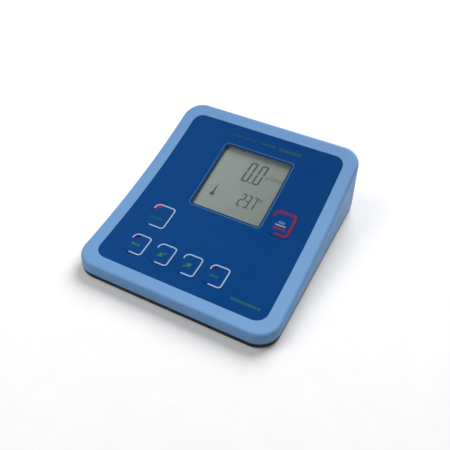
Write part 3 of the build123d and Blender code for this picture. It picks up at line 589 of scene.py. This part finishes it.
def bar(x, y, width, height):
    """A rounded bar from its left end, centred on a height."""
    radius = height / 2
    ends = [Vector((x + radius, y)), Vector((x + width - radius, y))]
    return stroke(refined(ends, PRINT_STEP), height)


def word(x, y, widths, height, gap):
    """Plain blocks in a row, where the real panel has a word."""
    shapes = []
    for width in widths:
        shapes.append(block(x, y - height / 2, width, height))
        x += width + gap
    return shapes


def block(x, y, width, height):
    """A rectangle from its lower left corner."""
    return polygon([(x, y), (x + width, y), (x + width, y + height), (x, y + height)])


# ---------------------------------------------------------------- keypad prints
# An outline's insets are from the key's left, right, top and bottom edges. The heel is its top left
# corner and the toes are the right ones. The hook is its stretch down the left, and the tail is where
# it stops below, from the left.
KEY_STYLE = dict(width=1.15 * MM, insets=(2.3 * MM, 0.9 * MM, 0.9 * MM, 0.8 * MM), heel=4.4 * MM,
                 toe=2.6 * MM, hook=5.1 * MM, tail=5.4 * MM)
POWER_STYLE = dict(width=2.5 * MM, insets=(1.8 * MM, 1.62 * MM, 1.62 * MM, 1.62 * MM), heel=4.8 * MM,
                   toe=3.0 * MM, hook=5.0 * MM, tail=8.6 * MM)
LAMPS = {"function": "lamp_red", "memory": "lamp_dark", "calibrate": "lamp_dark"}
LAMP_RADIUS = 2.5 * MM
LAMP_WIDTH = 2.1 * MM
LAMP_SWEEP = (80, 185)      # degrees
KEY_LABELS = {              # ink, widths of the blocks, height, and middle above the key's middle
    "function": ("dull_green", (2.6, 2.2, 2.6, 2.2), 2.2, -3.0),
    "memory": ("bright_green", (2.2, 1.9, 2.2), 1.9, -0.9),
    "calibrate": ("label_green", (2.2, 1.9, 2.0), 1.9, -1.1),
}
LABEL_GAP = 0.7
LABEL_SHIFT = 1.0           # to the left of the key's middle
ARROW_SLANT = math.radians(41)
film = Surface("overlay_film")


def key_outline(name, width, insets, heel, toe, hook, tail):
    """The open outline round a key: up the left, along the top, down the right and back below."""
    low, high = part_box(f"key_{name}")
    left, right = low.x + insets[0], high.x - insets[1]
    top, bottom = high.y - insets[2], low.y + insets[3]
    corners = [(left, top - hook), (left, top), (right, top), (right, bottom), (left + tail, bottom)]
    path = rounded(corners, [0, heel, toe, toe, 0])
    return stroke(refined(path, PRINT_STEP), width)


def key_piece(name, key, shapes, color):
    """A print that lies on a key and moves with it."""
    print_piece(name, shapes, Surface(f"key_{key}"), color, f"key_{key}")


def key_prints():
    for name in KEY_NAMES:
        power = name == "power"
        outline = key_outline(name, **(POWER_STYLE if power else KEY_STYLE))
        key_piece(f"{name}_outline", name, [outline], "power_red" if power else "key_line")
    lamp_marks()
    key_labels()
    power_marks()


def lamp_marks():
    """Small status lamp windows, each bent round the inside of the outline's top left corner."""
    for name, color in LAMPS.items():
        low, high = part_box(f"key_{name}")
        x = low.x + KEY_STYLE["insets"][0] + KEY_STYLE["heel"]
        y = high.y - KEY_STYLE["insets"][2] - KEY_STYLE["heel"]
        path = [Vector(point) for point in arc(x, y, LAMP_RADIUS, *LAMP_SWEEP)]
        key_piece(f"{name}_lamp", name, [stroke(path, LAMP_WIDTH)], color)


def key_labels():
    for name, (color, widths, height, rise) in KEY_LABELS.items():
        centre = middle(f"key_{name}")
        length = sum(widths) + LABEL_GAP * (len(widths) - 1)
        x = centre.x - (length / 2 + LABEL_SHIFT) * MM
        blocks = word(x, centre.y + rise * MM, [w * MM for w in widths], height * MM, LABEL_GAP * MM)
        key_piece(f"{name}_label", name, blocks, color)
    for name, sense in (("up", 1), ("down", -1)):
        centre = middle(f"key_{name}")
        arrow = slanted_arrow(centre.x - 0.6 * MM, centre.y - 0.9 * MM, sense)
        key_piece(f"{name}_arrow", name, arrow, "bright_green")


def slanted_arrow(x, y, sense):
    """A thin-tailed arrow that points up to the right, or down to the left."""
    along = Vector((math.cos(ARROW_SLANT), math.sin(ARROW_SLANT))) * sense * MM
    aside = Vector((-along.y, along.x))
    centre = Vector((x, y))
    tip, neck, end = centre + along * 4.3, centre - along * 0.4, centre - along * 4.6
    head = [neck - aside * 2.5, tip, neck + aside * 2.5]
    tail = [end - aside * 0.5, neck - aside * 0.5, neck + aside * 0.5, end + aside * 0.5]
    return [polygon(head), polygon(tail)]


def power_marks():
    """Three bars, one above the other."""
    centre = middle("key_power")
    x, y = centre.x, centre.y - 2.0 * MM
    upper = bar(x - 3.4 * MM, y + 3.0 * MM, 6.6 * MM, 2.5 * MM)
    line_between = bar(x - 4.8 * MM, y, 9.8 * MM, 0.95 * MM)
    lower = bar(x - 5.4 * MM, y - 3.4 * MM, 11 * MM, 2.3 * MM)
    key_piece("power_upper_mark", "power", [upper], "power_blue")
    key_piece("power_line_mark", "power", [line_between], "power_white")
    key_piece("power_lower_mark", "power", [lower], "power_red")


# ---------------------------------------------------------------- window and panel prints
def window_prints():
    centre = middle("window_pane")
    step = 0.05 * MM
    left, right = film.edge_from(centre, (-step, 0)).x, film.edge_from(centre, (step, 0)).x
    front, rear = film.edge_from(centre, (0, -step)).y, film.edge_from(centre, (0, step)).y

    def ring(name, grow, width, radius, color):
        corners = [(left - grow, front - grow), (right + grow, front - grow), (right + grow, rear + grow),
                   (left - grow, rear + grow)]
        path = refined(rounded(corners, [radius] * 4, closed=True), PRINT_STEP, closed=True)
        print_piece(name, [stroke(path, width, closed=True)], film, color)

    ring("window_border", 0.72 * MM, 1.2 * MM, 2.8 * MM, "window_shade")
    ring("window_line", 1.86 * MM, 0.95 * MM, 3.8 * MM, "window_line")


HEADER = {                  # ink, place from the heading's start, blocks, their width and height, and gap
    "first": ("faint_green", (0, -0.2), 12, 1.5, 2.1, 0.65),
    "second": ("dull_green", (30.0, -0.2), 6, 1.8, 2.4, 0.7),
    "third": ("dull_green", (48.5, -0.6), 7, 2.3, 3.4, 0.8),
}
HEADER_START = (-33.7, 8.4)     # from the middle of the window pane's rear edge


def panel_words():
    low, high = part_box("window_pane")
    x, y = (low.x + high.x) / 2 + HEADER_START[0] * MM, high.y + HEADER_START[1] * MM
    for name, (color, (along, up), count, width, height, gap) in HEADER.items():
        blocks = word(x + along * MM, y + up * MM, [width * MM] * count, height * MM, gap * MM)
        print_piece(f"header_{name}_word", blocks, film, color)
    low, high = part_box("overlay_film")
    corner = word(high.x - 32.5 * MM, low.y + 10.5 * MM, [2.3 * MM] * 9, 2.6 * MM, 0.6 * MM)
    print_piece("corner_word", corner, film, "corner_green")


# ---------------------------------------------------------------- display segments
DIGIT_LEAN = math.tan(math.radians(4.6))
SEGMENTS = {"0": "abcdef", "2": "abged", "3": "abgcd", "7": "abc", "8": "abcdefg"}


def segment_shapes(digit, x, y, width, height, line):
    """Pointed bars of one seven-segment digit, leaning a little to the right."""
    gap = line * 0.16
    half = height / 2
    edge = line / 2

    def across(level):
        inner, tip = line * 0.95, line * 0.5
        return [(tip, level), (inner, level + edge), (width - inner, level + edge), (width - tip, level),
                (width - inner, level - edge), (inner, level - edge)]

    def upright(side, bottom):
        low, high = bottom + gap, bottom + half - gap
        return [(side, low), (side + edge, low + edge), (side + edge, high - edge),
                (side, high), (side - edge, high - edge), (side - edge, low + edge)]

    outlines = {
        "a": across(height - edge), "g": across(half), "d": across(edge),
        "f": upright(edge, half - gap / 2), "b": upright(width - edge, half - gap / 2),
        "e": upright(edge, gap / 2), "c": upright(width - edge, gap / 2),
    }
    shapes = []
    for letter in SEGMENTS[digit]:
        shapes.append(polygon([(x + u + v * DIGIT_LEAN, y + v) for u, v in outlines[letter]]))
    return shapes


DISPLAY_SHIFT = (-0.7 * MM, -0.6 * MM)
BIG_DIGIT = dict(width=6.9 * MM, height=23.3 * MM, line=1.75 * MM)
SMALL_DIGIT = dict(width=4.8 * MM, height=14.5 * MM, line=1.3 * MM)
BIG_Y, SMALL_Y = 4.2 * MM, -21.9 * MM
glass = Plane("lcd_glass", offset=DISPLAY_SHIFT)


def display_piece(name, shapes, color, lift=SEGMENT_INK):
    print_piece(name, shapes, glass, color, lift=lift)


def display_prints():
    lit = []
    for x in (-4.4 * MM, 6.1 * MM):
        lit += segment_shapes("0", x, BIG_Y, **BIG_DIGIT)
    lit.append(block(3.9 * MM, BIG_Y - 0.2 * MM, 1.5 * MM, 1.5 * MM))
    for digit, x in (("2", 3.6 * MM), ("3", 9.1 * MM), ("7", 14.6 * MM)):
        lit += segment_shapes(digit, x, SMALL_Y, **SMALL_DIGIT)
    lit.append(block(13.9 * MM, SMALL_Y, 1.0 * MM, 1.0 * MM))
    display_piece("display_digits", lit, "segment")

    unlit = []
    for x in (-25.4 * MM, -14.9 * MM):
        unlit += segment_shapes("8", x, BIG_Y, **BIG_DIGIT)
    unlit += segment_shapes("8", -1.9 * MM, SMALL_Y, **SMALL_DIGIT)
    display_piece("display_unlit_digits", unlit, "segment_unlit", UNLIT_INK)
    thermometer()
    unit_marks()


def circle(x, y, radius, sides=20):
    angles = [math.tau * i / sides for i in range(sides)]
    return polygon([(x + radius * math.cos(a), y + radius * math.sin(a)) for a in angles])


def line(points, width):
    """A stroke whose points and width are in millimetres."""
    return stroke([Vector((x * MM, y * MM)) for x, y in points], width * MM)


def thermometer():
    x, y = -20.9, -18.6
    bulb = circle(x * MM, y * MM, 2.1 * MM)
    stem = line([(x + 0.1, y + 1.2), (x + 0.5, y + 7.0)], 1.6)
    display_piece("thermometer_mark", [bulb, stem], "segment")
    tube = line([(x + 0.55, y + 7.8), (x + 0.85, y + 11.4)], 0.8)
    display_piece("thermometer_tube", [tube], "segment_faint")


def arc(x, y, radius, start, end, squeeze=1.0):
    """Points along an arc, in degrees."""
    steps = max(3, round(abs(end - start) / 20))
    angles = [math.radians(start + (end - start) * i / steps) for i in range(steps + 1)]
    return [(x + radius * math.cos(a), y + radius * squeeze * math.sin(a)) for a in angles]


def unit_marks():
    """Micro-siemens per centimetre beside the reading, and degrees Celsius beside the temperature."""
    thin = 0.55
    x, y = 16.6, 14.4
    micro = line([(x, y - 1.4), (x + 0.2, y + 2.8)], thin)
    bowl = line([(x + 0.1, y + 0.6), *arc(x + 1.1, y + 0.9, 0.95, 180, 340)], thin)
    leg = line([(x + 2.0, y + 0.2), (x + 2.2, y + 2.8)], thin)
    sx, sy = x + 4.6, y + 2.1
    letter_s = line([*arc(sx, sy + 1.15, 1.15, 30, 270), *arc(sx + 0.1, sy - 1.15, 1.15, 90, -150)], thin)
    slash = line([(sx + 2.2, sy - 2.5), (sx + 3.7, sy + 2.5)], thin)
    cx = sx + 5.3
    letter_c = line(arc(cx, y + 1.3, 1.1, 50, 310), thin)
    mx = cx + 2.0
    letter_m = [line([(mx, y + 0.1), (mx + 0.1, y + 2.4)], thin)]
    for step in (0, 1):
        left = mx + 0.1 + 1.35 * step
        letter_m.append(line([*arc(left + 0.67, y + 1.6, 0.67, 170, 0), (left + 1.3, y + 0.1)], thin))
    shapes = [micro, bowl, leg, letter_s, slash, letter_c, *letter_m]
    display_piece("conductivity_unit", shapes, "segment_faint")
    x, y = 21.4, -8.8
    ring = stroke([Vector(p) * MM for p in arc(x, y, 0.65, 0, 340)], 0.45 * MM, closed=True)
    letter = line(arc(x + 2.4, y - 1.1, 1.35, 50, 310, squeeze=1.3), 0.6)
    display_piece("temperature_unit", [ring, letter], "segment_faint")


# ---------------------------------------------------------------- signs behind and below
class RearWall:
    """The upright face that the sockets stand on: points are given across it and up it."""

    def __init__(self):
        between = (middle("bnc_body") + middle("temp_jack_body")) / 2
        start = Vector((between.x, 1, between.z))
        self.y = face_tree("top_shell").ray_cast(start, Vector((0, -1, 0)))[0].y

    def __call__(self, point, lift):
        return Vector((point[0], self.y + lift, point[1]))


class Underside:
    """The flat lower face of a node: points are plan points."""

    def __init__(self, node):
        self.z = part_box(node)[0].z

    def __call__(self, point, lift):
        return Vector((point[0], point[1], self.z - lift))


SIGN_RISE = 9.8             # middle of a socket's sign above the socket's middle, in millimetres
SIGN_LINE = 0.45


def socket_signs():
    """A probe over the electrode socket, a thermometer, and the mark of direct current."""
    wall = RearWall()

    def sign(name, shapes):
        print_piece(name, shapes, wall, "socket_sign")

    def place(node):
        centre = middle(node)
        return centre.x / MM, centre.z / MM + SIGN_RISE

    x, z = place("bnc_body")
    probe = [line([(x, z + 2.3), (x, z + 0.4)], SIGN_LINE), circle(x * MM, (z - 1.0) * MM, 0.75 * MM),
             stroke([Vector(p) * MM for p in arc(x, z - 1.0, 1.55, 0, 342)], SIGN_LINE * MM, closed=True)]
    sign("electrode_sign", probe)
    x, z = place("temp_jack_body")
    stem = line([(x, z - 0.6), (x, z + 2.3)], 0.8)
    marks = [line([(x + 1.0, z + rise), (x + 1.9, z + rise)], 0.3) for rise in (0.3, 1.2, 2.1)]
    sign("temperature_sign", [stem, circle(x * MM, (z - 1.4) * MM, 1.05 * MM), *marks])
    x, z = place("power_jack_body")
    long_dash = line([(x - 2.2, z + 0.5), (x + 2.2, z + 0.5)], SIGN_LINE)
    dashes = [line([(x + at - 0.5, z - 0.7), (x + at + 0.5, z - 0.7)], SIGN_LINE) for at in (-1.7, 0, 1.7)]
    sign("supply_sign", [long_dash, *dashes])


def door_sign():
    """An arrow on the battery door, towards its hinge tabs."""
    low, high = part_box("battery_door")
    x, y = (low.x + high.x) / 2, low.y + 0.45 * (high.y - low.y)
    head = polygon([(x - 4.5 * MM, y), (x + 4.5 * MM, y), (x, y - 6.5 * MM)])
    shaft = block(x - 1.5 * MM, y, 3.0 * MM, 7.0 * MM)
    underside = Underside("battery_door")
    print_piece("door_arrow", [head, shaft], underside, "door_sign", "battery_door")


# ---------------------------------------------------------------- snap domes
def snap_domes():
    """A dome flattens as its key goes down; each one is hidden and a copy with its own mesh stands for it,
    moving with the housing.
    """
    for name in KEY_NAMES:
        node = nodes[f"dome_{name}"]
        dome = bpy.data.objects.new(f"flexing_dome_{name}", node.data.copy())
        dome.data.materials.clear()
        dome.data.materials.append(node.material_slots[0].material)
        bpy.context.scene.collection.objects.link(dome)
        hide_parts(node.name)
        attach(dome, HOUSING)
        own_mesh(dome)


# ---------------------------------------------------------------- build
make_camera()
make_light()
make_floor()
dress_nodes()
key_prints()
window_prints()
panel_words()
display_prints()
socket_signs()
door_sign()
snap_domes()
bpy.context.scene.view_settings.view_transform = "Standard"
